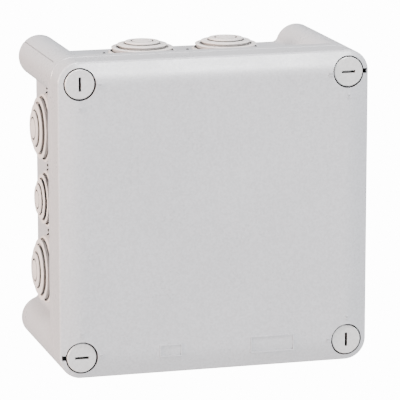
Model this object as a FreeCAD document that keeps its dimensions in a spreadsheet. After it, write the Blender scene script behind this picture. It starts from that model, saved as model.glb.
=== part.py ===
import FreeCAD, Part
import math
import os
import Sketcher
from FreeCAD import Placement, Rotation, Vector

# Square ten-entry electrical junction box for surface mounting.
#
# Frame: +Z up, +X to the right seen from the front, the front faces -Y. The origin is the
# centre of the back face, which lies against the wall in the plane Y = 0. "Forward" below is
# the distance in front of that plane, along -Y, and it is the normal of every XZ sketch.
#
# The base is a tray with recessed walls, a round column at each corner and a flange at its
# mouth. The cover is a shallow cap with a bevelled border, held by four quarter-turn screws
# whose lugs pass a keyhole at the top of each column and turn under it. The same columns are
# open to the wall screws, so the fixings stay outside the seal.

SIZES = {
    # outside
    "box_width": 130,
    "box_depth": 74,
    "corner_radius": 8.85,
    # base
    "wall_recess": 7.4,
    "wall_thickness": 3,
    "column_fillet": 2.5,
    "floor_thickness": 3,
    "flange_back": 54.5,
    "flange_front": 60,
    "back_edge_radius": 0.6,
    "channel_length": 84,
    "channel_width": 4.2,
    "channel_depth": 4,
    "channel_inset": 4.1,
    "parting_width": 0.35,
    "parting_depth": 0.25,
    "diagonal": 0.70711,
    # seal: a lip on the base presses into a gasket held in the cover
    "seal_at": 56.1,
    "seal_corner_radius": 7.4,
    "seal_fillet": 3.5,
    "lip_half": 0.6,
    "lip_height": 1.5,
    "gasket_half": 1.2,
    "gasket_thickness": 2.5,
    "rail_half": 2.2,
    "rail_gap": 0.6,
    # cover
    "seam_gap": 0.3,
    "cover_wall": 2.6,
    "cover_plate": 2.5,
    "border_width": 6.9,
    "border_drop": 1.9,
    "cover_edge_radius": 0.9,
    "crease_radius": 24,
    "seam_edge": 0.3,
    "emboss": 0.3,
    "mark_length": 1.75,
    "mark_thickness": 0.5,
    "mark_pitch": 1.1,
    "mark_beside": 7.9,
    "mark_below": 9.2,
    "label_line": 0.5,
    "small_label_at": 19.1,
    "small_label_width": 9.4,
    "small_label_height": 5.2,
    "large_label_at": 24,
    "large_label_width": 18.6,
    "large_label_height": 7,
    "label_down": 55.4,
    # quarter-turn screws
    "screw_at": 56.15,
    "head_radius": 6.05,
    "head_thickness": 3,
    "head_sink": 0.7,
    "head_play": 0.1,
    "head_edge": 0.3,
    "counterbore_radius": 6.65,
    "seat_thickness": 2.4,
    "boss_radius": 8.2,
    "slot_length": 5.8,
    "slot_width": 1.05,
    "slot_depth": 3.6,
    "shaft_radius": 3.2,
    "shaft_hole_radius": 3.45,
    "collar_radius": 4,
    "collar_gap": 0.3,
    "collar_thickness": 1,
    "lug_radius": 5.2,
    "lug_width": 4.6,
    "lug_height": 3.2,
    "lug_gap": 0.2,
    "bore_radius": 5.5,
    "keyhole_radius": 4.3,
    "keyhole_slot": 5.2,
    "keyhole_depth": 3.5,
    "wall_screw_radius": 2.4,
    # openings for a sealing wire, beside two of the screws
    "wire_notch_width": 2.1,
    "wire_notch_rim": 0.75,
    "wire_notch_depth": 3.2,
    # cable glands
    "gland_forward": 25,
    "side_pitch": 30,
    "top_pitch": 36,
    "seat_depth": 2.1,
    "gland_skin": 1.2,
    "gland_lip": 1.2,
    "groove_width": 0.5,
    "groove_depth": 1.1,
    "tip_groove_depth": 0.35,
    # terminal strip
    "strip_length": 50,
    "strip_height": 18,
    "strip_depth": 14,
    "ear_length": 72,
    "ear_height": 10,
    "ear_depth": 4.5,
    "strip_standoff": 6,
    "fixing_at": 31,
    "boss_outer_radius": 4,
    "ways": 5,
    "way_pitch": 9.5,
    "sleeve_radius": 3.1,
    "sleeve_in_strip": 6,
    "sleeve_inset": 0.8,
    "wire_radius": 1.9,
    "clamp_spacing": 9,
    "clamp_gap": 0.4,
    "clamp_play": 0.5,
    "clamp_radius": 1.4,
    "clamp_length": 2.6,
    "clamp_head_radius": 1.4,
    "clamp_head_height": 1.6,
    "clamp_slot": 0.5,
    "fixing_play": 0.3,
    "fixing_radius": 1.3,
    "fixing_length": 9.7,
    "fixing_head_radius": 2.8,
    "fixing_head_height": 1.8,
    "fixing_slot": 0.9,
}

# Radii of one rubber gland's steps, and how far each rises from the wall's outer face. The
# collar is the flange's inner edge: the flange slopes down from it to its own edge.
GLAND_RINGS = {
    "large": {
        "seat": 15.1, "flange": 14.2, "flange_rise": 2.2, "collar_rise": 3.9, "neck": 12.3,
        "ring": 12.75, "ring_rise": 5.1, "step": 10.35, "step_rise": 6.2,
        "tip": 7.2, "tip_rise": 7.2,
    },
    "small": {
        "seat": 12.7, "flange": 11.8, "flange_rise": 1.5, "collar_rise": 2.8, "neck": 9.9,
        "ring": 10.4, "ring_rise": 3.9, "step": 8.4, "step_rise": 4.9,
        "tip": 6.2, "tip_rise": 5.8,
    },
}

FRONT = "XZ_Plane"
SIDE = "YZ_Plane"
LEVEL = "XY_Plane"
FILLET = "PartDesign::Fillet"
CHAMFER = "PartDesign::Chamfer"
SAME_PLACE = 1e-4

document = FreeCAD.newDocument("junction_box")


# ---------------------------------------------------------------- sheet and small helpers

def make_sheet():
    """The driving dimensions, one alias per row."""
    table = document.addObject("Spreadsheet::Sheet", "Sizes")
    entries = dict(SIZES)
    for size, rings in GLAND_RINGS.items():
        entries.update({f"{size}_{name}": value for name, value in rings.items()})
    for row, (name, value) in enumerate(entries.items(), start=1):
        table.set(f"A{row}", name)
        table.set(f"B{row}", str(value))
        table.setAlias(f"B{row}", name)
    document.recompute()
    return table


sheet = make_sheet()
checked_features = []


def linked(expression):
    """An expression in the sheet's aliases, as other objects have to write it."""
    words = []
    for word in expression.replace("(", " ( ").replace(")", " ) ").split():
        words.append("Sizes." + word if word[0].isalpha() else word)
    return " ".join(words)


def amount(expression):
    """The value of an expression in the sheet's aliases."""
    return float(sheet.evalExpression(expression))


def bind(sketch, constraint, expression):
    """Add a dimension to a sketch and drive it from the sheet."""
    index = sketch.addConstraint(constraint)
    sketch.setExpression(f"Constraints[{index}]", linked(expression))


def pin_point(sketch, shape, position, across, up):
    """Dimension one point of a sketch from the sketch's origin, both ways."""
    for kind, expression, axis in (("DistanceX", across, -2), ("DistanceY", up, -1)):
        value = amount(expression)
        if abs(value) < SAME_PLACE:
            sketch.addConstraint(Sketcher.Constraint("PointOnObject", shape, position, axis))
        elif value > 0:
            bind(sketch, Sketcher.Constraint(kind, -1, 1, shape, position, value), expression)
        else:
            flipped = f"0 - ( {expression} )"
            bind(sketch, Sketcher.Constraint(kind, shape, position, -1, 1, -value), flipped)


def new_body(label):
    body = document.addObject("PartDesign::Body", "Body")
    body.Label = label
    return body


def sketch_on(body, role, offset):
    """A sketch on one of the body's own origin planes, offset along that plane's normal."""
    sketch = body.newObject("Sketcher::SketchObject", "Sketch")
    plane = next(item for item in body.Origin.OriginFeatures if item.Role == role)
    sketch.AttachmentSupport = [(plane, "")]
    sketch.MapMode = "FlatFace"
    sketch.setExpression("AttachmentOffset.Base.z", linked(offset))
    return sketch


def feature_from(body, kind, sketch, length, backwards):
    before = body.Tip.Shape.Volume if body.Tip else 0
    feature = body.newObject(kind, kind.split("::")[1])
    feature.Profile = sketch
    feature.setExpression("Length", linked(length))
    feature.Reversed = backwards
    body.Tip = feature
    document.recompute()
    checked_features.append((feature, before, feature.Shape.Volume))
    return feature


def pad(body, sketch, length, backwards=False):
    """Add material from the sketch along its normal."""
    return feature_from(body, "PartDesign::Pad", sketch, length, backwards)


def pocket(body, sketch, depth, backwards=False):
    """Cut from the sketch against its normal, or along it when backwards."""
    return feature_from(body, "PartDesign::Pocket", sketch, depth, backwards)


def dress(body, kind, forward, **sizes):
    """A fillet or chamfer on the edges of the body's last feature at one distance forward."""
    base = body.Tip
    place = amount(forward)
    names = []
    for number, edge in enumerate(base.Shape.Edges, start=1):
        box = edge.BoundBox
        if max(abs(box.YMin + place), abs(box.YMax + place)) < SAME_PLACE:
            names.append(f"Edge{number}")
    feature = body.newObject(kind, kind.split("::")[1])
    feature.Base = (base, names)
    if "Size2" in sizes:
        feature.ChamferType = "Two distances"
    for name, expression in sizes.items():
        feature.setExpression(name, linked(expression))
    body.Tip = feature
    document.recompute()
    return feature


# ---------------------------------------------------------------- sketch outlines

def turn(point, quarters):
    """A sketch point turned clockwise by quarter turns."""
    x, y = point
    for _ in range(quarters % 4):
        x, y = y, -x
    return x, y


def arc_between(centre, radius, start, end, clockwise):
    """An arc of a sketch from one point to another, and which of its ends comes first."""
    angle_start = math.atan2(start[1] - centre[1], start[0] - centre[0])
    angle_end = math.atan2(end[1] - centre[1], end[0] - centre[0])
    circle = Part.Circle(Vector(centre[0], centre[1], 0), Vector(0, 0, 1), radius)
    if clockwise:
        return Part.ArcOfCircle(circle, angle_end, angle_start), 2, 1
    return Part.ArcOfCircle(circle, angle_start, angle_end), 1, 2


def join_smoothly(sketch, pieces):
    """Add pieces to a sketch as one closed chain, tangent at every joint."""
    shapes = [sketch.addGeometry(geometry, False) for geometry, _, _ in pieces]
    for k, shape in enumerate(shapes):
        following = (k + 1) % len(shapes)
        last = pieces[k][2]
        first = pieces[following][1]
        tangent = Sketcher.Constraint("Tangent", shape, last, shapes[following], first)
        sketch.addConstraint(tangent)
    return shapes


def hold_side(sketch, line, quarters, distance):
    """Hold one side of a square outline level or upright at its distance from the middle."""
    sketch.addConstraint(Sketcher.Constraint("Vertical" if quarters % 2 else "Horizontal", line))
    kind = "DistanceX" if quarters % 2 else "DistanceY"
    value = amount(distance)
    if quarters in (0, 1):
        bind(sketch, Sketcher.Constraint(kind, -1, 1, line, 1, value), distance)
    else:
        bind(sketch, Sketcher.Constraint(kind, line, 1, -1, 1, value), distance)


def line_piece(start, end):
    return Part.LineSegment(Vector(start[0], start[1], 0), Vector(end[0], end[1], 0)), 1, 2


def rounded_square(sketch, half, radius):
    """A square outline with round corners."""
    a, r = amount(half), amount(radius)
    pieces = []
    for k in range(4):
        pieces.append(line_piece(turn((r - a, a), k), turn((a - r, a), k)))
        centre, start, end = (turn(p, k) for p in ((a - r, a - r), (a - r, a), (a, a - r)))
        pieces.append(arc_between(centre, r, start, end, clockwise=True))
    shapes = join_smoothly(sketch, pieces)
    for k in range(4):
        hold_side(sketch, shapes[2 * k], k, half)
        bind(sketch, Sketcher.Constraint("Radius", shapes[2 * k + 1], r), radius)


def lobed_square(sketch, half, lobe_at, lobe_radius, fillet, outward):
    """A square outline with a round lobe at each corner, standing out of it or biting into it.

    lobe_at is the lobe centre's distance from both axes. A fillet joins each lobe to the
    sides next to it.
    """
    a, s, q, f = (amount(size) for size in (half, lobe_at, lobe_radius, fillet))
    level = a + f if outward else a - f
    run = s - math.sqrt((q + f) ** 2 - (level - s) ** 2)
    share = q / (q + f)
    meet = (s + share * (run - s), s + share * (level - s))
    pieces = []
    for k in range(4):
        pieces.append(line_piece(turn((-run, a), k), turn((run, a), k)))
        first, second, lobe = turn((run, level), k), turn((level, run), k), turn((s, s), k)
        touch, leave = turn(meet, k), turn((meet[1], meet[0]), k)
        pieces.append(arc_between(first, f, turn((run, a), k), touch, clockwise=not outward))
        pieces.append(arc_between(lobe, q, touch, leave, clockwise=outward))
        pieces.append(arc_between(second, f, leave, turn((a, run), k), clockwise=not outward))
    shapes = join_smoothly(sketch, pieces)
    for k in range(4):
        line, first, lobe, second = shapes[4 * k:4 * k + 4]
        hold_side(sketch, line, k, half)
        bind(sketch, Sketcher.Constraint("Radius", first, f), fillet)
        bind(sketch, Sketcher.Constraint("Radius", second, f), fillet)
        bind(sketch, Sketcher.Constraint("Radius", lobe, q), lobe_radius)
        across = signed(1 if k in (0, 1) else -1, lobe_at)
        up = signed(1 if k in (0, 3) else -1, lobe_at)
        pin_point(sketch, lobe, 3, across, up)


def seal_outline(sketch, offset):
    """The line of the seal, moved outwards by an offset: straight sides, in round the columns."""
    lobed_square(
        sketch, f"seal_at + {offset}", "screw_at", f"seal_corner_radius - {offset}",
        f"seal_fillet + {offset}", outward=False,
    )


def seal_band(sketch, half_width):
    """Both edges of a band that follows the seal."""
    seal_outline(sketch, half_width)
    seal_outline(sketch, f"( 0 - {half_width} )")


def circle(sketch, across, up, radius):
    centre = Vector(amount(across), amount(up), 0)
    shape = sketch.addGeometry(Part.Circle(centre, Vector(0, 0, 1), amount(radius)), False)
    bind(sketch, Sketcher.Constraint("Radius", shape, amount(radius)), radius)
    pin_point(sketch, shape, 3, across, up)


def polygon(sketch, corners):
    """A closed outline of straight edges, each corner dimensioned from the origin."""
    points = [Vector(amount(across), amount(up), 0) for across, up in corners]
    shapes = []
    for k, point in enumerate(points):
        line = Part.LineSegment(point, points[(k + 1) % len(points)])
        shapes.append(sketch.addGeometry(line, False))
    for k, shape in enumerate(shapes):
        following = shapes[(k + 1) % len(shapes)]
        sketch.addConstraint(Sketcher.Constraint("Coincident", shape, 2, following, 1))
    for shape, (across, up) in zip(shapes, corners):
        pin_point(sketch, shape, 1, across, up)


def rectangle(sketch, across, up, width, height):
    """An upright rectangle round its centre."""
    left, right = f"{across} - ( {width} ) / 2", f"{across} + ( {width} ) / 2"
    low, high = f"{up} - ( {height} ) / 2", f"{up} + ( {height} ) / 2"
    polygon(sketch, [(left, low), (right, low), (right, high), (left, high)])


# ---------------------------------------------------------------- places

# The four screws: name, side across and up, and whether the slot is level when unlocked.
CORNERS = [
    ("top_left", -1, 1, False),
    ("top_right", 1, 1, True),
    ("bottom_right", 1, -1, False),
    ("bottom_left", -1, -1, True),
]


def signed(sign, expression):
    return expression if sign > 0 else f"0 - ( {expression} )"


def corner_circles(sketch, radius):
    for _, across, up, _ in CORNERS:
        circle(sketch, signed(across, "screw_at"), signed(up, "screw_at"), radius)


WALL_FACE = "box_width / 2 - wall_recess"

# The rows of glands on the side walls and the columns of those on the top and bottom walls.
SIDE_ROWS = [
    ("top", "side_pitch", "large"),
    ("middle", "0", "small"),
    ("bottom", "0 - side_pitch", "large"),
]
TOP_COLUMNS = [
    ("left", "0 - top_pitch / 2"),
    ("right", "top_pitch / 2"),
]


def gland_places():
    """Name, size, centre on the wall and outward normal of every gland."""
    face, depth = amount(WALL_FACE), -amount("gland_forward")
    places = []
    for row, height, size in SIDE_ROWS:
        for wall, sign in (("left", -1), ("right", 1)):
            centre = Vector(sign * face, depth, amount(height))
            places.append((f"gland_{wall}_{row}", size, centre, Vector(sign, 0, 0)))
    for column, across in TOP_COLUMNS:
        for wall, sign in (("top", 1), ("bottom", -1)):
            centre = Vector(amount(across), depth, sign * face)
            places.append((f"gland_{wall}_{column}", "large", centre, Vector(0, 0, sign)))
    return places


# ---------------------------------------------------------------- base

def wall_circles(body, radius_name, depth):
    """Cut one circle per gland into the outside of the four walls."""
    for sign in (-1, 1):
        offset = signed(sign, f"( {WALL_FACE} )")
        sketch = sketch_on(body, SIDE, offset)
        for _, height, size in SIDE_ROWS:
            circle(sketch, "0 - gland_forward", height, f"{size}_{radius_name}")
        pocket(body, sketch, depth, backwards=sign < 0)
        sketch = sketch_on(body, LEVEL, offset)
        for _, across in TOP_COLUMNS:
            circle(sketch, across, "0 - gland_forward", f"large_{radius_name}")
        pocket(body, sketch, depth, backwards=sign < 0)


def flange_channels(body):
    """Four weight-saving channels in the front of the flange, outside the seal."""
    for level in (True, False):
        sketch = sketch_on(body, FRONT, "flange_front")
        for sign in (-1, 1):
            place = signed(sign, "box_width / 2 - channel_inset")
            if level:
                rectangle(sketch, "0", place, "channel_length", "channel_width")
            else:
                rectangle(sketch, place, "0", "channel_width", "channel_length")
        pocket(body, sketch, "channel_depth")


def parting_lines(body):
    """The mould's parting line: a hairline groove along the crest of each column."""
    sketch = sketch_on(body, FRONT, "flange_back")
    crest = "box_width / 2 - corner_radius + ( corner_radius {0} ) * diagonal"
    inner, outer = crest.format("- parting_depth"), crest.format("+ parting_depth")
    half = "parting_width / 2 * diagonal"
    corners = [
        (f"{inner} - {half}", f"{inner} + {half}"),
        (f"{outer} - {half}", f"{outer} + {half}"),
        (f"{outer} + {half}", f"{outer} - {half}"),
        (f"{inner} + {half}", f"{inner} - {half}"),
    ]
    for _, across, up, _ in CORNERS:
        polygon(sketch, [(signed(across, x), signed(up, y)) for x, y in corners])
    pocket(body, sketch, "flange_back")


def make_base():
    body = new_body("base_box")

    sketch = sketch_on(body, FRONT, "0")
    column_at = "box_width / 2 - corner_radius"
    lobed_square(sketch, WALL_FACE, column_at, "corner_radius", "column_fillet", outward=True)
    pad(body, sketch, "flange_back")
    dress(body, FILLET, "0", Radius="back_edge_radius")

    sketch = sketch_on(body, FRONT, "flange_back")
    rounded_square(sketch, "box_width / 2", "corner_radius")
    pad(body, sketch, "flange_front - flange_back")
    dress(body, CHAMFER, "flange_front", Size="seam_edge")

    sketch = sketch_on(body, FRONT, "flange_front")
    seal_outline(sketch, "( 0 - wall_thickness / 2 )")
    pocket(body, sketch, "flange_front - floor_thickness")

    sketch = sketch_on(body, FRONT, "flange_front")
    seal_band(sketch, "lip_half")
    pad(body, sketch, "lip_height")

    flange_channels(body)
    parting_lines(body)

    # columns: a round bore behind a keyhole, and a hole for the wall screw behind that
    sketch = sketch_on(body, FRONT, "flange_front - keyhole_depth")
    corner_circles(sketch, "bore_radius")
    pocket(body, sketch, "flange_front - keyhole_depth - floor_thickness")
    sketch = sketch_on(body, FRONT, "flange_front")
    corner_circles(sketch, "keyhole_radius")
    pocket(body, sketch, "keyhole_depth")
    sketch = sketch_on(body, FRONT, "flange_front")
    for _, across, up, level in CORNERS:
        length, width = "bore_radius * 2", "keyhole_slot"
        sides = (length, width) if level else (width, length)
        rectangle(sketch, signed(across, "screw_at"), signed(up, "screw_at"), *sides)
    pocket(body, sketch, "keyhole_depth")
    sketch = sketch_on(body, FRONT, "floor_thickness")
    corner_circles(sketch, "wall_screw_radius")
    pocket(body, sketch, "floor_thickness")

    wall_circles(body, "seat", "seat_depth")
    wall_circles(body, "neck", "wall_thickness")

    # two bosses carry the terminal strip
    sketch = sketch_on(body, FRONT, "floor_thickness")
    for sign in (-1, 1):
        circle(sketch, signed(sign, "fixing_at"), "0", "boss_outer_radius")
    pad(body, sketch, "strip_standoff")
    sketch = sketch_on(body, FRONT, "floor_thickness + strip_standoff")
    for sign in (-1, 1):
        circle(sketch, signed(sign, "fixing_at"), "0", "fixing_radius")
    pocket(body, sketch, "strip_standoff")
    return body


# ---------------------------------------------------------------- cover

def wire_notches(body):
    """Openings for a sealing wire, from the counterbore out through the cover's side."""
    sketch = sketch_on(body, FRONT, "box_depth")
    for sign in (-1, 1):
        near, far = "screw_at + head_radius", "box_width / 2 - wire_notch_rim"
        low, high = "screw_at - wire_notch_width / 2", "screw_at + wire_notch_width / 2"
        corners = [(near, low), (far, low), (far, high), (near, high)]
        polygon(sketch, [(signed(sign, f"( {x} )"), signed(sign, f"( {y} )")) for x, y in corners])
    pocket(body, sketch, "wire_notch_depth + border_drop")


def raised_marks(body):
    """Plain raised marks on the panel: bars by the screws, and two empty label frames."""
    sketch = sketch_on(body, FRONT, "box_depth - emboss")
    for _, across, up, _ in CORNERS:
        for step in ("0", "mark_pitch"):
            beside = signed(across, "screw_at - mark_beside"), signed(up, f"screw_at - {step}")
            rectangle(sketch, *beside, "mark_length", "mark_thickness")
            below = signed(across, "screw_at"), signed(up, f"screw_at - mark_below - {step}")
            rectangle(sketch, *below, "mark_length - mark_thickness", "mark_thickness")
    for name, sign in (("small_label", -1), ("large_label", 1)):
        middle = signed(sign, f"{name}_at")
        width, height = f"{name}_width", f"{name}_height"
        rectangle(sketch, middle, "0 - label_down", width, height)
        inner = f"{width} - label_line * 2", f"{height} - label_line * 2"
        rectangle(sketch, middle, "0 - label_down", *inner)
    pad(body, sketch, "emboss * 2")


def make_cover():
    body = new_body("front_cover")
    skirt_back = "flange_front + seam_gap"
    rail_back = "flange_front + rail_gap"
    plate_back = "box_depth - cover_plate"
    seat_front = "box_depth - head_sink - head_thickness - head_play"

    sketch = sketch_on(body, FRONT, skirt_back)
    rounded_square(sketch, "box_width / 2", "corner_radius")
    pad(body, sketch, f"box_depth - ( {skirt_back} )")
    dress(body, CHAMFER, "box_depth", Size="border_drop", Size2="border_width")
    dress(body, FILLET, "box_depth - border_drop", Radius="cover_edge_radius")
    dress(body, FILLET, "box_depth", Radius="crease_radius")
    dress(body, CHAMFER, skirt_back, Size="seam_edge")

    # hollow it, then put back a rail for the gasket and a boss round each screw
    sketch = sketch_on(body, FRONT, skirt_back)
    rounded_square(sketch, "box_width / 2 - cover_wall", "corner_radius - cover_wall")
    pocket(body, sketch, f"{plate_back} - ( {skirt_back} )", backwards=True)
    sketch = sketch_on(body, FRONT, rail_back)
    seal_band(sketch, "rail_half")
    pad(body, sketch, f"{plate_back} - ( {rail_back} )")
    sketch = sketch_on(body, FRONT, rail_back)
    corner_circles(sketch, "boss_radius")
    pad(body, sketch, f"{plate_back} - ( {rail_back} )")

    sketch = sketch_on(body, FRONT, rail_back)
    seal_band(sketch, "gasket_half")
    pocket(body, sketch, "lip_height + gasket_thickness - rail_gap", backwards=True)
    sketch = sketch_on(body, FRONT, skirt_back)
    corner_circles(sketch, "bore_radius")
    pocket(body, sketch, f"{seat_front} - seat_thickness - ( {skirt_back} )", backwards=True)

    sketch = sketch_on(body, FRONT, "box_depth")
    corner_circles(sketch, "counterbore_radius")
    pocket(body, sketch, "head_sink + head_thickness + head_play")
    sketch = sketch_on(body, FRONT, "box_depth")
    corner_circles(sketch, "shaft_hole_radius")
    pocket(body, sketch, "box_depth - flange_front")
    wire_notches(body)
    raised_marks(body)
    return body


def make_gasket():
    body = new_body("cover_gasket")
    sketch = sketch_on(body, FRONT, "flange_front + lip_height")
    seal_band(sketch, "gasket_half")
    pad(body, sketch, "gasket_thickness")
    return body


# ---------------------------------------------------------------- quarter-turn screw

def make_screw(name, across, up, level):
    """A quarter-turn cover screw in its own frame: head forward, slot and lug along X."""
    body = new_body(f"cover_screw_{name}")
    head_back = "box_depth - head_sink - head_thickness"
    lug_front = "flange_front - keyhole_depth - lug_gap"
    collar_front = "box_depth - head_sink - head_thickness - head_play - seat_thickness - collar_gap"

    sketch = sketch_on(body, FRONT, head_back)
    circle(sketch, "0", "0", "head_radius")
    pad(body, sketch, "head_thickness")
    dress(body, CHAMFER, "box_depth - head_sink", Size="head_edge")
    sketch = sketch_on(body, FRONT, "box_depth - head_sink")
    rectangle(sketch, "0", "0", "slot_length", "slot_width")
    pocket(body, sketch, "slot_depth")

    sketch = sketch_on(body, FRONT, head_back)
    circle(sketch, "0", "0", "shaft_radius")
    pad(body, sketch, f"{head_back} - ( {lug_front} ) + lug_height", backwards=True)
    sketch = sketch_on(body, FRONT, collar_front)
    circle(sketch, "0", "0", "collar_radius")
    pad(body, sketch, "collar_thickness", backwards=True)

    # the lug is a bar with round ends
    sketch = sketch_on(body, FRONT, lug_front)
    lug_outline(sketch)
    pad(body, sketch, "lug_height", backwards=True)

    quarter = 0 if level else 90
    corner = Vector(across * amount("screw_at"), 0, up * amount("screw_at"))
    body.Placement = Placement(corner, Rotation(Vector(0, 1, 0), quarter))
    return body


def lug_outline(sketch):
    """A bar cut from a disc: two straight sides and two ends on the disc's edge."""
    radius, half = amount("lug_radius"), amount("lug_width / 2")
    reach_x = math.sqrt(radius ** 2 - half ** 2)
    corners = [(-reach_x, half), (reach_x, half), (reach_x, -half), (-reach_x, -half)]
    top = sketch.addGeometry(line_piece(corners[0], corners[1])[0], False)
    right = sketch.addGeometry(arc_between((0, 0), radius, corners[2], corners[1], False)[0], False)
    low = sketch.addGeometry(line_piece(corners[2], corners[3])[0], False)
    left = sketch.addGeometry(arc_between((0, 0), radius, corners[0], corners[3], False)[0], False)
    joints = [(top, 2, right, 2), (right, 1, low, 1), (low, 2, left, 2), (left, 1, top, 1)]
    for joint in joints:
        sketch.addConstraint(Sketcher.Constraint("Coincident", *joint))
    for line in (top, low):
        sketch.addConstraint(Sketcher.Constraint("Horizontal", line))
    for arc in (right, left):
        sketch.addConstraint(Sketcher.Constraint("Coincident", arc, 3, -1, 1))
        bind(sketch, Sketcher.Constraint("Radius", arc, radius), "lug_radius")
    bind(sketch, Sketcher.Constraint("DistanceY", -1, 1, top, 1, half), "lug_width / 2")
    bind(sketch, Sketcher.Constraint("DistanceY", low, 1, -1, 1, half), "lug_width / 2")


# ---------------------------------------------------------------- rubber gland

def gland_profile(size):
    """Half section of a gland: distance from its axis, and rise above the wall's face."""
    part = {name: f"{size}_{name}" for name in GLAND_RINGS[size]}
    ring, step, tip, neck = part["ring"], part["step"], part["tip"], part["neck"]
    ring_rise, step_rise, tip_rise = part["ring_rise"], part["step_rise"], part["tip_rise"]
    collar_rise, flange = part["collar_rise"], part["flange"]
    tip_foot = f"{step_rise} - tip_groove_depth"
    step_foot = f"{ring_rise} - groove_depth"
    ring_foot = f"{collar_rise} - groove_depth"
    web = "0 - wall_thickness"
    return [
        ("0", tip_rise),
        (tip, tip_rise),
        (tip, tip_foot),
        (f"{tip} + groove_width", tip_foot),
        (f"{tip} + groove_width", step_rise),
        (step, step_rise),
        (step, step_foot),
        (f"{step} + groove_width", step_foot),
        (f"{step} + groove_width", ring_rise),
        (ring, ring_rise),
        (ring, ring_foot),
        (f"{ring} + groove_width", ring_foot),
        (f"{ring} + groove_width", collar_rise),
        (flange, part["flange_rise"]),
        (flange, "0 - seat_depth"),
        (neck, "0 - seat_depth"),
        (neck, web),
        (f"{neck} + gland_lip", web),
        (f"{neck} + gland_lip / 2", f"{web} - gland_lip"),
        (f"{neck} - gland_skin", f"{web} - gland_lip"),
        (f"{neck} - gland_skin", f"{ring_foot} - gland_skin"),
        (f"{step} - gland_skin", f"{ring_foot} - gland_skin"),
        (f"{step} - gland_skin", f"{step_foot} - gland_skin"),
        (f"{tip} - gland_skin", f"{tip_rise} - gland_skin"),
        ("0", f"{tip_rise} - gland_skin"),
    ]


def make_gland(name, size, centre, normal):
    """A stepped membrane gland: its own Z axis points out of the wall."""
    body = new_body(name)
    sketch = sketch_on(body, FRONT, "0")
    polygon(sketch, gland_profile(size))
    revolution = body.newObject("PartDesign::Revolution", "Revolution")
    revolution.Profile = sketch
    revolution.ReferenceAxis = (sketch, ["V_Axis"])
    revolution.Angle = 360
    body.Tip = revolution
    document.recompute()
    body.Placement = Placement(centre, Rotation(Vector(0, 0, 1), normal))
    return body


# ---------------------------------------------------------------- terminal strip

STRIP_BACK = "floor_thickness + strip_standoff"
STRIP_FRONT = "floor_thickness + strip_standoff + strip_depth"
SLEEVE_FORWARD = "floor_thickness + strip_standoff + sleeve_in_strip"


def way_places():
    """Distance of each way of the strip from its middle."""
    side = int(amount("ways")) // 2
    return [signed(1 if step >= 0 else -1, f"way_pitch * {abs(step)}") for step in range(-side, side + 1)]


def clamp_places():
    """Place of each clamp screw, across and up: two to a way."""
    return [(across, signed(sign, "clamp_spacing / 2")) for across in way_places() for sign in (-1, 1)]


def make_strip():
    """The moulded body of the terminal strip, with two ears for its fixing screws."""
    body = new_body("terminal_block")
    sketch = sketch_on(body, FRONT, STRIP_BACK)
    rectangle(sketch, "0", "0", "strip_length", "strip_height")
    pad(body, sketch, "strip_depth")
    sketch = sketch_on(body, FRONT, STRIP_BACK)
    rectangle(sketch, "0", "0", "ear_length", "ear_height")
    pad(body, sketch, "ear_depth")
    sketch = sketch_on(body, LEVEL, "0 - strip_height / 2")
    for across in way_places():
        circle(sketch, across, f"0 - ( {SLEEVE_FORWARD} )", "sleeve_radius")
    pocket(body, sketch, "strip_height", backwards=True)
    sketch = sketch_on(body, FRONT, STRIP_FRONT)
    for across, up in clamp_places():
        circle(sketch, across, up, "clamp_radius + clamp_play")
    pocket(body, sketch, f"{STRIP_FRONT} - ( {SLEEVE_FORWARD} )")
    sketch = sketch_on(body, FRONT, f"{STRIP_BACK} + ear_depth")
    for sign in (-1, 1):
        circle(sketch, signed(sign, "fixing_at"), "0", "fixing_radius + fixing_play")
    pocket(body, sketch, "ear_depth")
    return body


def cylinder(radius, height, place, rotation):
    """A cylinder that rises from place along its own Z axis."""
    shape = document.addObject("Part::Cylinder", "Cylinder")
    shape.setExpression("Radius", linked(radius))
    shape.setExpression("Height", linked(height))
    shape.Placement = Placement(place, rotation)
    return shape


UPWARDS = Rotation()
FORWARDS = Rotation(Vector(1, 0, 0), 90)
BACKWARDS = Rotation(Vector(1, 0, 0), -90)


def group_of(shapes, label):
    group = document.addObject("Part::Compound", "Group")
    group.Links = shapes
    group.Label = label
    return group


def make_sleeves():
    """Brass sleeves, one per way, each bored for the wires and tapped for two clamp screws."""
    sleeves = []
    length = "strip_height - sleeve_inset * 2"
    for across in way_places():
        middle = Vector(amount(across), -amount(SLEEVE_FORWARD), 0)
        foot = middle - Vector(0, 0, amount(length) / 2)
        barrel = cylinder("sleeve_radius", length, foot, UPWARDS)
        cuts = [cylinder("wire_radius", length, foot, UPWARDS)]
        for sign in (-1, 1):
            place = middle + Vector(0, 0, sign * amount("clamp_spacing / 2"))
            cuts.append(cylinder("clamp_radius", "sleeve_radius", place, FORWARDS))
        tools = document.addObject("Part::MultiFuse", "Tools")
        tools.Shapes = cuts
        sleeve = document.addObject("Part::Cut", "Sleeve")
        sleeve.Base = barrel
        sleeve.Tool = tools
        sleeves.append(sleeve)
    return group_of(sleeves, "terminal_sleeves")


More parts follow.
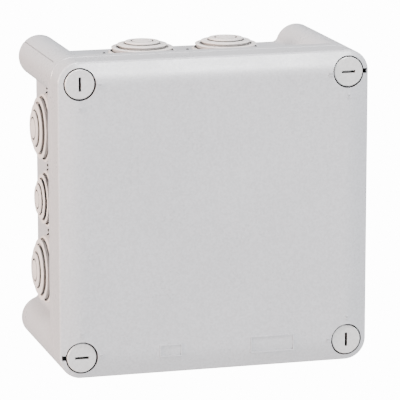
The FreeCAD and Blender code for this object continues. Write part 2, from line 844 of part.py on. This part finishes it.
def slotted_screw(place, kind):
    """A slotted screw of a kind named in the sheet: shank back from place, head in front."""
    radius, head = f"{kind}_head_radius", f"{kind}_head_height"
    whole = document.addObject("Part::Fuse", "Whole")
    whole.Base = cylinder(f"{kind}_radius", f"{kind}_length", place, BACKWARDS)
    whole.Tool = cylinder(radius, head, place, FORWARDS)
    slot = document.addObject("Part::Box", "Slot")
    slot.setExpression("Length", linked(f"{radius} * 2"))
    slot.setExpression("Width", linked(f"{head} / 2"))
    slot.setExpression("Height", linked(f"{kind}_slot"))
    corner = Vector(-amount(radius), -amount(head), -amount(f"{kind}_slot / 2"))
    slot.Placement = Placement(place + corner, UPWARDS)
    screw = document.addObject("Part::Cut", "Screw")
    screw.Base = whole
    screw.Tool = slot
    return screw


def make_strip_screws():
    """The strip's clamp screws as one group, and its two fixing screws as another."""
    forward = amount(f"{SLEEVE_FORWARD} + sleeve_radius + clamp_gap")
    clamps = []
    for across, up in clamp_places():
        clamps.append(slotted_screw(Vector(amount(across), -forward, amount(up)), "clamp"))
    forward = amount(f"{STRIP_BACK} + ear_depth")
    fixings = []
    for sign in (-1, 1):
        fixings.append(slotted_screw(Vector(sign * amount("fixing_at"), -forward, 0), "fixing"))
    return group_of(clamps, "terminal_screws"), group_of(fixings, "block_fixing_screws")


# ---------------------------------------------------------------- build, check and write

def check_and_write(parts):
    document.recompute()
    for item in document.Objects:
        if "Invalid" in item.State or "Error" in item.State:
            raise RuntimeError(f"{item.Name} ({item.Label}) failed: {item.State}")
    for feature, before, after in checked_features:
        adds = feature.TypeId.endswith("Pad")
        if (adds and after <= before) or (not adds and after >= before):
            raise RuntimeError(f"{feature.Name} changed nothing: {before} to {after}")
    for part in parts:
        if part.Shape.isNull() or not part.Shape.isValid():
            raise RuntimeError(f"{part.Label} has no valid shape")
    os.makedirs("parts", exist_ok=True)
    for part in parts:
        part.Shape.exportStep(os.path.join("parts", f"{part.Label}.step"))
        box = part.Shape.BoundBox
        print(f"{part.Label}: {len(part.Shape.Solids)} solid, {part.Shape.Volume:.1f} mm3, "
              f"{box.XLength:.2f} x {box.YLength:.2f} x {box.ZLength:.2f}")


parts = [make_base(), make_cover(), make_gasket()]
parts += [make_screw(*corner) for corner in CORNERS]
parts += [make_gland(*place) for place in gland_places()]
parts.append(make_strip())
parts.append(make_sleeves())
parts += make_strip_screws()
check_and_write(parts)
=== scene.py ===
import math

import bpy
from mathutils import Matrix, Vector


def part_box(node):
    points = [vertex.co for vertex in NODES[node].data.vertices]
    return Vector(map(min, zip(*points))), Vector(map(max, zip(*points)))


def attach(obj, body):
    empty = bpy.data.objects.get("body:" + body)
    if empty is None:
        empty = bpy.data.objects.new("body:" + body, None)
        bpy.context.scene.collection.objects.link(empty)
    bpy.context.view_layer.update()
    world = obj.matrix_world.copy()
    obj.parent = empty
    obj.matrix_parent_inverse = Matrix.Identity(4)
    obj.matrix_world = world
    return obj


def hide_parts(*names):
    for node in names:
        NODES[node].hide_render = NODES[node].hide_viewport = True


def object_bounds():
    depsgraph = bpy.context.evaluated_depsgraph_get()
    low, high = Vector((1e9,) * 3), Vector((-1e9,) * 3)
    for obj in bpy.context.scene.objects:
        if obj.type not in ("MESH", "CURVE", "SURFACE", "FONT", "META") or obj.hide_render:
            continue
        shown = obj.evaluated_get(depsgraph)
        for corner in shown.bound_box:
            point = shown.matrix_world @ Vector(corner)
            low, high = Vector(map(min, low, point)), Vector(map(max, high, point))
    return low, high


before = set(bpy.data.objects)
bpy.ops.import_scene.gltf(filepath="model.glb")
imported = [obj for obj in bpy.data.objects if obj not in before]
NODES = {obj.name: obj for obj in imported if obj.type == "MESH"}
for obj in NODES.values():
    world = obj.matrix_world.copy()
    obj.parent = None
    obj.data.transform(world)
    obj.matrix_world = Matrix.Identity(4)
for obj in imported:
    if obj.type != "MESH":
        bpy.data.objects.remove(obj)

# The looks of the junction box: smooth rubber glands in place of the faceted CAD ones, finely
# grained moulded plastic, foam, brass and steel, a white studio and the camera. The frame is that
# of the CAD, in metres: +Z up, the wall in the plane Y = 0, the front facing -Y. The numbers below
# are in metres too where nothing else is said.

MM = 0.001

# How far the outer walls lie behind the cover's outline.
WALL_RECESS = 7.4 * MM

# Sections of the glands, outside first: distance from the axis and rise above the wall's face, in
# millimetres, with the radius that rounds each corner. Each ring is a lip with a slit under it.
LARGE_GLAND = [
    (0, 7.1, 0), (4.1, 7.15, 0.15), (4.2, 6.3, 0.1), (4.8, 6.3, 0.1), (4.9, 7.1, 0.15),
    (7.25, 6.95, 0.4), (7.25, 6.3, 0.1), (6.95, 6.2, 0.1), (6.95, 5.6, 0.1), (7.6, 5.6, 0.1),
    (7.7, 6.05, 0.25), (10.4, 5.8, 0.4), (10.4, 5.4, 0.1), (9.3, 5.3, 0.1), (9.3, 3.8, 0.1),
    (10.75, 3.8, 0.1), (10.9, 4.6, 0.3), (12.85, 4.6, 0.45), (12.85, 4.2, 0.1), (12.2, 3.9, 0.1),
    (12.2, 2.3, 0.1), (13.05, 2.3, 0.1), (13.2, 3.1, 0.3), (14.15, 2.5, 0.4), (14.15, -2.05, 0.1),
    (12.3, -2.05, 0.1), (12.3, -3.0, 0.1), (13.5, -3.0, 0.1), (12.9, -4.2, 0.1), (11.1, -4.2, 0.1),
    (11.1, 1.3, 0.3), (9.0, 1.5, 0.3), (8.8, 2.7, 0.3), (6.0, 4.5, 0.3), (0, 5.8, 0),
]
SMALL_GLAND = [
    (0, 5.7, 0), (3.4, 5.75, 0.15), (3.5, 5.0, 0.1), (4.0, 5.0, 0.1), (4.1, 5.7, 0.15),
    (6.2, 5.55, 0.4), (6.2, 4.95, 0.1), (5.9, 4.85, 0.1), (5.9, 4.2, 0.1), (6.5, 4.2, 0.1),
    (6.6, 4.7, 0.2), (8.4, 4.5, 0.35), (8.4, 4.1, 0.1), (7.5, 4.0, 0.1), (7.5, 2.7, 0.1),
    (8.75, 2.7, 0.1), (8.9, 3.45, 0.25), (10.4, 3.45, 0.4), (10.4, 3.03, 0.1), (9.8, 2.75, 0.1),
    (9.8, 1.4, 0.1), (10.6, 1.4, 0.1), (10.75, 2.12, 0.3), (11.75, 1.6, 0.4), (11.75, -2.05, 0.1),
    (9.9, -2.05, 0.1), (9.9, -3.0, 0.1), (11.1, -3.0, 0.1), (10.5, -4.2, 0.1), (8.7, -4.2, 0.1),
    (8.7, 0.4, 0.3), (7.1, 0.6, 0.3), (6.9, 1.6, 0.3), (5.0, 3.2, 0.3), (0, 4.4, 0),
]

# Section of the small stud on the wall beside each gland, painted near black as shade, and how far
# it
#  lies from the gland's axis, in millimetres.
WALL_STUD = [
    (0, 1.05, 0), (0.22, 1.05, 0.05), (0.3, 1.25, 0.06), (0.52, 1.23, 0.12), (0.6, 0.9, 0.1),
    (0.6, -0.05, 0.05), (0, -0.05, 0),
]
STUD_AT = {"large": 16.6, "small": 14.2}

# How finely the turned pieces are divided: round the axis, and along each rounded corner. One
# corner's rounding takes at most this share of the edges beside it.
TURNS = 144
CORNER_STEPS = 4
EDGE_SHARE = 0.45

# Outward direction of each wall, and the direction from its glands' axes to their studs.
WALLS = {
    "left": ((-1, 0, 0), (0, 0, 1)),
    "right": ((1, 0, 0), (0, 0, -1)),
    "top": ((0, 0, 1), (-11, 7, 0)),
    "bottom": ((0, 0, -1), (11, 7, 0)),
}

# The camera: its turn and tilt in degrees, its distance from the front face, its lens and its
# sensor in millimetres, and how far the aim lies to the left of the face's middle and above it.
YAW, PITCH, DISTANCE, LENS, SENSOR = 15.61, 12.11, 1304, 289.5, 36
AIM_LEFT, AIM_UP = 6.6, 6.1

# The backdrop's brightness as the camera sees it, and the white surround's as it lights the box.
BACKDROP_GLOW = 14.0
SURROUND = 0.68

# The floor: its paint, half its width and its height.
FLOOR_WHITE = (0.82, 0.82, 0.82, 1)
FLOOR_HALF, FLOOR_LEVEL = 30.0, -1.2

# Soft boxes: azimuth, with 0 in front and 90 to the right, elevation, distance, width, watts and
# colour.
LIGHTS = {
    "key": (16, 18, 1.6, 0.32, 25, (0.975, 0.99, 1)),
    "side": (-80, 12, 1.8, 0.6, 69, (1, 0.78, 0.67)),
    "top": (0, 72, 1.6, 0.4, 32, (0.97, 0.98, 1)),
}

# Base colours of the finishes, and how many rays the occlusion takes that paints shade into their
# gaps.
COLOURS = {
    "housing": (0.615, 0.62, 0.652),
    "screw": (0.71, 0.705, 0.71),
    "block": (0.70, 0.67, 0.58),
    "brass": (0.72, 0.52, 0.22),
    "steel": (0.58, 0.60, 0.62),
    "rubber": (0.82, 0.768, 0.745),
}
OCCLUSION_SAMPLES = 8


def corners(bounds):
    """A box's lowest and highest corner as plain numbers."""
    return [[float(value) for value in corner] for corner in bounds]


cad_bounds = corners(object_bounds())
FRONT_Y = cad_bounds[0][1]
WALL_FACE = cad_bounds[1][0] - WALL_RECESS


# ---------------------------------------------------------------- finishes

class Shader:
    """A material's node tree, with short ways to add what the finishes below share."""

    def __init__(self, name):
        self.material = bpy.data.materials.new(name)
        self.material.use_nodes = True
        self.tree = self.material.node_tree
        self.tree.nodes.clear()
        output = self.tree.nodes.new("ShaderNodeOutputMaterial")
        self.surface = self.tree.nodes.new("ShaderNodeBsdfPrincipled")
        self.link(self.surface.outputs["BSDF"], output.inputs["Surface"])
        coordinates = self.tree.nodes.new("ShaderNodeTexCoord")
        self.place = coordinates.outputs["Object"]

    def link(self, source, target):
        self.tree.links.new(source, target)

    def drive(self, name, source):
        """Feed one of the surface's sockets from a node."""
        self.link(source, self.surface.inputs[name])

    def set(self, **values):
        """Set constant values on the surface's own sockets; underscores stand for spaces."""
        for name, value in values.items():
            self.surface.inputs[name.replace("_", " ")].default_value = value

    def noise(self, scale, detail=2.0, stretch=(1, 1, 1)):
        """A noise value; scale is in features per metre."""
        mapping = self.tree.nodes.new("ShaderNodeMapping")
        mapping.inputs["Scale"].default_value = stretch
        self.link(self.place, mapping.inputs["Vector"])
        node = self.tree.nodes.new("ShaderNodeTexNoise")
        node.inputs["Scale"].default_value = scale
        node.inputs["Detail"].default_value = detail
        self.link(mapping.outputs["Vector"], node.inputs["Vector"])
        return node.outputs["Fac"]

    def cells(self, scale):
        """Distance to the nearest point of a scatter; scale is in points per metre."""
        node = self.tree.nodes.new("ShaderNodeTexVoronoi")
        node.inputs["Scale"].default_value = scale
        self.link(self.place, node.inputs["Vector"])
        return node.outputs["Distance"]

    def openness(self, reach):
        """1 on open surfaces, falling towards 0 deep in gaps narrower than reach, in metres."""
        node = self.tree.nodes.new("ShaderNodeAmbientOcclusion")
        node.samples = OCCLUSION_SAMPLES
        node.inputs["Distance"].default_value = reach
        return node.outputs["AO"]

    def ramp(self, value, low, high, start=0.35, end=0.65):
        """A colour or grey that goes from low to high as value goes from start to end."""
        node = self.tree.nodes.new("ShaderNodeValToRGB")
        points = node.color_ramp.elements
        points[0].position, points[1].position = start, end
        points[0].color, points[1].color = (*low, 1), (*high, 1)
        self.link(value, node.inputs["Fac"])
        return node.outputs["Color"]

    def grey(self, value, low, high, start=0.35, end=0.65):
        """A ramp between two greys."""
        return self.ramp(value, (low,) * 3, (high,) * 3, start, end)

    def spread(self, value, low, high, start=0.3, end=0.7):
        """value, from start to end, spread over low to high."""
        node = self.tree.nodes.new("ShaderNodeMapRange")
        ends = {"From Min": start, "From Max": end, "To Min": low, "To Max": high}
        for name, number in ends.items():
            node.inputs[name].default_value = number
        self.link(value, node.inputs["Value"])
        return node.outputs["Result"]

    def multiply(self, one, other):
        """One colour darkened by another."""
        node = self.tree.nodes.new("ShaderNodeMix")
        node.data_type = "RGBA"
        node.blend_type = "MULTIPLY"
        node.inputs["Factor"].default_value = 1
        self.link(one, node.inputs["A"])
        self.link(other, node.inputs["B"])
        return node.outputs["Result"]

    def sum(self, parts):
        """A weighted sum of values, given as (value, weight) pairs."""
        total = None
        for value, weight in parts:
            node = self.tree.nodes.new("ShaderNodeMath")
            node.operation = "MULTIPLY_ADD"
            node.inputs[1].default_value = weight
            node.inputs[2].default_value = 0
            self.link(value, node.inputs[0])
            if total is not None:
                self.link(total, node.inputs[2])
            total = node.outputs["Value"]
        return total

    def bump(self, height, distance):
        """Relief of a given height in metres."""
        node = self.tree.nodes.new("ShaderNodeBump")
        node.inputs["Distance"].default_value = distance
        self.link(height, node.inputs["Height"])
        self.drive("Normal", node.outputs["Normal"])


def dimmed(colour, share):
    """A share of a colour's brightness."""
    return tuple(share * channel for channel in colour)


def painted_shade_rubber():
    """Near-black rubber with a dull, slightly uneven skin; the near-black is painted shade on the
    wall studs.
    """
    shader = Shader("painted_shade_rubber")
    skin = shader.noise(900, detail=3)
    shader.drive("Base Color", shader.grey(skin, low=0.015, high=0.035))
    shader.drive("Roughness", shader.spread(skin, low=0.6, high=0.8))
    shader.bump(skin, 0.01 * MM)
    return shader.material


def moulded_plastic(name, colour, roughness, grain):
    """Light moulded plastic: spark-eroded grain, its height in millimetres, faint flow marks,
    uneven gloss, and painted shade that darkens the gaps, nearly to black in narrow slots."""
    shader = Shader(name)
    tint = shader.ramp(shader.noise(26, detail=3), dimmed(colour, 0.965), colour)
    speckle = shader.grey(shader.noise(1100, detail=2), low=0.87, high=1)
    # Painted shade: the colour falls towards near black where occlusion finds narrow gaps, slots
    # and rings.
    painted_gap_shade = shader.grey(shader.openness(2.5 * MM), low=0.05, high=1, start=0.27, end=0.57)
    shader.drive("Base Color", shader.multiply(shader.multiply(tint, speckle), painted_gap_shade))
    gloss = shader.sum([(shader.noise(40), 0.5), (shader.noise(900), 0.5)])
    shader.drive("Roughness", shader.spread(gloss, low=roughness - 0.04, high=roughness + 0.06))
    relief = shader.sum([(shader.noise(1300, detail=2), 1.0), (shader.noise(60), 0.5)])
    shader.bump(relief, grain * MM)
    shader.set(IOR=1.5, Specular_IOR_Level=0.7)
    return shader.material


def soft_rubber(name, colour):
    """The glands' soft elastomer: dusty, slightly mottled, with painted shade darkening the slits
    between rings.
    """
    shader = Shader(name)
    tint = shader.ramp(shader.noise(140, detail=4), dimmed(colour, 0.94), colour)
    dust = shader.grey(shader.noise(2200, detail=1), low=0.94, high=1, start=0.3, end=0.6)
    # Painted shade: the colour darkens in the slits between the rings, where occlusion finds them
    # narrow.
    painted_gap_shade = shader.grey(shader.openness(1.8 * MM), low=0.02, high=1, start=0.38, end=0.68)
    shader.drive("Base Color", shader.multiply(shader.multiply(tint, dust), painted_gap_shade))
    shader.drive("Roughness", shader.spread(shader.noise(300), low=0.5, high=0.68))
    shader.bump(shader.noise(1800, detail=2), 0.02 * MM)
    shader.set(Sheen_Weight=0.15, Sheen_Roughness=0.5, IOR=1.52, Specular_IOR_Level=0.4)
    return shader.material


def sealing_foam():
    """Dark closed-cell foam."""
    shader = Shader("sealing_foam")
    cells = shader.cells(1800)
    shader.drive("Base Color", shader.grey(cells, low=0.012, high=0.05, start=0.1, end=0.6))
    shader.drive("Roughness", shader.spread(cells, low=0.75, high=0.95))
    shader.bump(cells, 0.12 * MM)
    return shader.material


def turned_metal(name, colour, roughness, stretch):
    """Machined metal: fine tool marks, small stains and uneven polish."""
    shader = Shader(name)
    marks = shader.noise(2600, detail=2, stretch=stretch)
    stains = shader.sum([(marks, 0.4), (shader.noise(350, detail=4), 0.6)])
    shader.drive("Base Color", shader.ramp(stains, dimmed(colour, 0.8), colour))
    shader.drive("Roughness", shader.spread(marks, low=roughness, high=roughness + 0.18))
    shader.bump(marks, 0.02 * MM)
    shader.set(Metallic=1.0)
    return shader.material


def finish_frame():
    """Give every CAD node its finish."""
    housing = moulded_plastic("housing_plastic", COLOURS["housing"], roughness=0.29, grain=0.02)
    screw = moulded_plastic("screw_plastic", COLOURS["screw"], roughness=0.32, grain=0.014)
    block = moulded_plastic("terminal_plastic", COLOURS["block"], roughness=0.38, grain=0.01)
    brass = turned_metal("turned_brass", COLOURS["brass"], roughness=0.24, stretch=(1, 1, 0.06))
    steel = turned_metal("zinc_steel", COLOURS["steel"], roughness=0.3, stretch=(1, 0.06, 1))
    finishes = {
        "base_box": housing, "front_cover": housing, "cover_gasket": sealing_foam(),
        "terminal_block": block, "terminal_sleeves": brass,
        "terminal_screws": steel, "block_fixing_screws": steel,
    }
    for name, node in NODES.items():
        material = screw if name.startswith("cover_screw") else finishes.get(name)
        if material is None:
            continue
        for slot in node.material_slots:
            slot.material = material


# ---------------------------------------------------------------- glands

def rounded(section):
    """The section's points with each corner rounded by its radius, as far as its edges allow."""
    points = [Vector((distance, rise)) for distance, rise, _ in section]
    result = [points[0]]
    for before, corner, after, (_, _, radius) in zip(points, points[1:], points[2:], section[1:]):
        back, ahead = before - corner, after - corner
        half = back.angle(ahead) / 2
        run = min(radius / math.tan(half), EDGE_SHARE * back.length, EDGE_SHARE * ahead.length)
        start, end = corner + back.normalized() * run, corner + ahead.normalized() * run
        for step in range(CORNER_STEPS + 1):
            share = step / CORNER_STEPS
            result.append(start.lerp(corner, share).lerp(corner.lerp(end, share), share))
    return result + [points[-1]]


def lathe(name, outline):
    """A closed solid of revolution about Z from an outline that starts and ends on the axis."""
    def vertex(ring, turn):
        return 1 + (ring - 1) * TURNS + turn % TURNS

    vertices = [(0, 0, outline[0].y * MM)]
    for point in outline[1:-1]:
        for turn in range(TURNS):
            angle = 2 * math.pi * turn / TURNS
            x, y = point.x * math.cos(angle), point.x * math.sin(angle)
            vertices.append((x * MM, y * MM, point.y * MM))
    vertices.append((0, 0, outline[-1].y * MM))
    last = len(outline) - 2
    faces = []
    for turn in range(TURNS):
        faces.append((0, vertex(1, turn), vertex(1, turn + 1)))
        faces.append((len(vertices) - 1, vertex(last, turn + 1), vertex(last, turn)))
        for ring in range(1, last):
            faces.append((vertex(ring, turn), vertex(ring + 1, turn),
                          vertex(ring + 1, turn + 1), vertex(ring, turn + 1)))
    mesh = bpy.data.meshes.new(name)
    mesh.from_pydata(vertices, [], faces)
    mesh.shade_smooth()
    return mesh


def place_on_wall(node, aside=0.0):
    """Where a turned piece's own frame goes: its Z axis points out of the wall. The origin is on
    the wall's face, on the gland's axis or, for a stud, aside from it by that many millimetres."""
    low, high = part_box(node)
    centre = (low + high) / 2
    normal, side = (Vector(way).normalized() for way in WALLS[node.split("_")[1]])
    origin = centre + (WALL_FACE - centre.dot(normal)) * normal + aside * MM * side
    axes = Matrix((side, normal.cross(side), normal)).transposed()
    return Matrix.Translation(origin) @ axes.to_4x4()


def turned_piece(name, outline, material, place):
    """A lathed piece in its place on the base."""
    mesh = lathe(name, outline)
    mesh.materials.append(material)
    mesh.transform(place)
    piece = bpy.data.objects.new(name, mesh)
    bpy.context.scene.collection.objects.link(piece)
    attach(piece, "base")
    return piece


def make_glands():
    """Replace the ten faceted glands with smooth ones, each with a small stud beside it painted
    near black as shade.
    """
    rubber, dark = soft_rubber("gland_rubber", COLOURS["rubber"]), painted_shade_rubber()
    sections = {"large": rounded(LARGE_GLAND), "small": rounded(SMALL_GLAND)}
    stud = rounded(WALL_STUD)
    for node in sorted(name for name in NODES if name.startswith("gland_")):
        size = "small" if node.endswith("middle") else "large"
        on_axis, beside = place_on_wall(node), place_on_wall(node, STUD_AT[size])
        gland = turned_piece(f"soft_{node}", sections[size], rubber, on_axis)
        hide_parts(node)
        # Painted shade: each stud is near-black rubber standing in for the shade of a small dark
        # dot.
        turned_piece(f"stud_{node}", stud, dark, beside)


# ---------------------------------------------------------------- studio

def make_camera():
    """A long lens from above and to the left of the front."""
    yaw, pitch = math.radians(YAW), math.radians(PITCH)
    level = math.cos(pitch)
    forward = Vector((math.sin(yaw) * level, math.cos(yaw) * level, -math.sin(pitch)))
    right = Vector((math.cos(yaw), -math.sin(yaw), 0))
    up = right.cross(forward)
    aim = Vector((0, FRONT_Y, 0)) - AIM_LEFT * MM * right + AIM_UP * MM * up
    data = bpy.data.cameras.new("camera")
    data.sensor_width = SENSOR
    data.lens = LENS
    camera = bpy.data.objects.new("camera", data)
    turn = Matrix((right, up, -forward)).transposed()
    camera.matrix_world = Matrix.Translation(aim - DISTANCE * MM * forward) @ turn.to_4x4()
    bpy.context.scene.collection.objects.link(camera)
    bpy.context.scene.camera = camera


def soft_light(name, azimuth, elevation, distance, width, power, colour):
    """A square soft box that faces the box's middle."""
    across, above = math.radians(azimuth), math.radians(elevation)
    level = math.cos(above)
    direction = Vector((math.sin(across) * level, -math.cos(across) * level, math.sin(above)))
    data = bpy.data.lights.new(name, "AREA")
    data.shape = "SQUARE"
    data.size = width
    data.energy = power
    data.color = colour
    lamp = bpy.data.objects.new(name, data)
    lamp.location = direction * distance
    lamp.rotation_euler = direction.to_track_quat("Z", "Y").to_euler()
    bpy.context.scene.collection.objects.link(lamp)


def pale_surface(name, glow):
    """A pale backdrop: it lights the object as matt white and shows itself near white."""
    material = bpy.data.materials.new(name)
    material.use_nodes = True
    nodes, links = material.node_tree.nodes, material.node_tree.links
    nodes.clear()
    matt = nodes.new("ShaderNodeBsdfDiffuse")
    matt.inputs["Color"].default_value = FLOOR_WHITE
    bright = nodes.new("ShaderNodeEmission")
    bright.inputs["Strength"].default_value = glow
    path = nodes.new("ShaderNodeLightPath")
    mix = nodes.new("ShaderNodeMixShader")
    output = nodes.new("ShaderNodeOutputMaterial")
    links.new(path.outputs["Is Camera Ray"], mix.inputs["Fac"])
    links.new(matt.outputs["BSDF"], mix.inputs[1])
    links.new(bright.outputs["Emission"], mix.inputs[2])
    links.new(mix.outputs["Shader"], output.inputs["Surface"])
    return material


def make_floor():
    """A pale floor well below the box."""
    edges = (-FLOOR_HALF, FLOOR_HALF)
    mesh = bpy.data.meshes.new("floor")
    mesh.from_pydata([(x, y, FLOOR_LEVEL) for y in edges for x in edges], [], [(0, 1, 3, 2)])
    mesh.materials.append(pale_surface("floor_white", BACKDROP_GLOW))
    floor = bpy.data.objects.new("floor", mesh)
    bpy.context.scene.collection.objects.link(floor)


def make_surround():
    """A white surround all round the box."""
    world = bpy.data.worlds.new("studio")
    world.use_nodes = True
    nodes, links = world.node_tree.nodes, world.node_tree.links
    background = nodes["Background"]
    background.inputs["Color"].default_value = (1, 1, 1, 1)
    path = nodes.new("ShaderNodeLightPath")
    strength = nodes.new("ShaderNodeMapRange")
    strength.inputs["To Min"].default_value = SURROUND
    strength.inputs["To Max"].default_value = BACKDROP_GLOW
    links.new(path.outputs["Is Camera Ray"], strength.inputs["Value"])
    links.new(strength.outputs["Result"], background.inputs["Strength"])
    bpy.context.scene.world = world


finish_frame()
make_glands()
make_camera()
make_floor()
make_surround()
for light, values in LIGHTS.items():
    soft_light(light, *values)
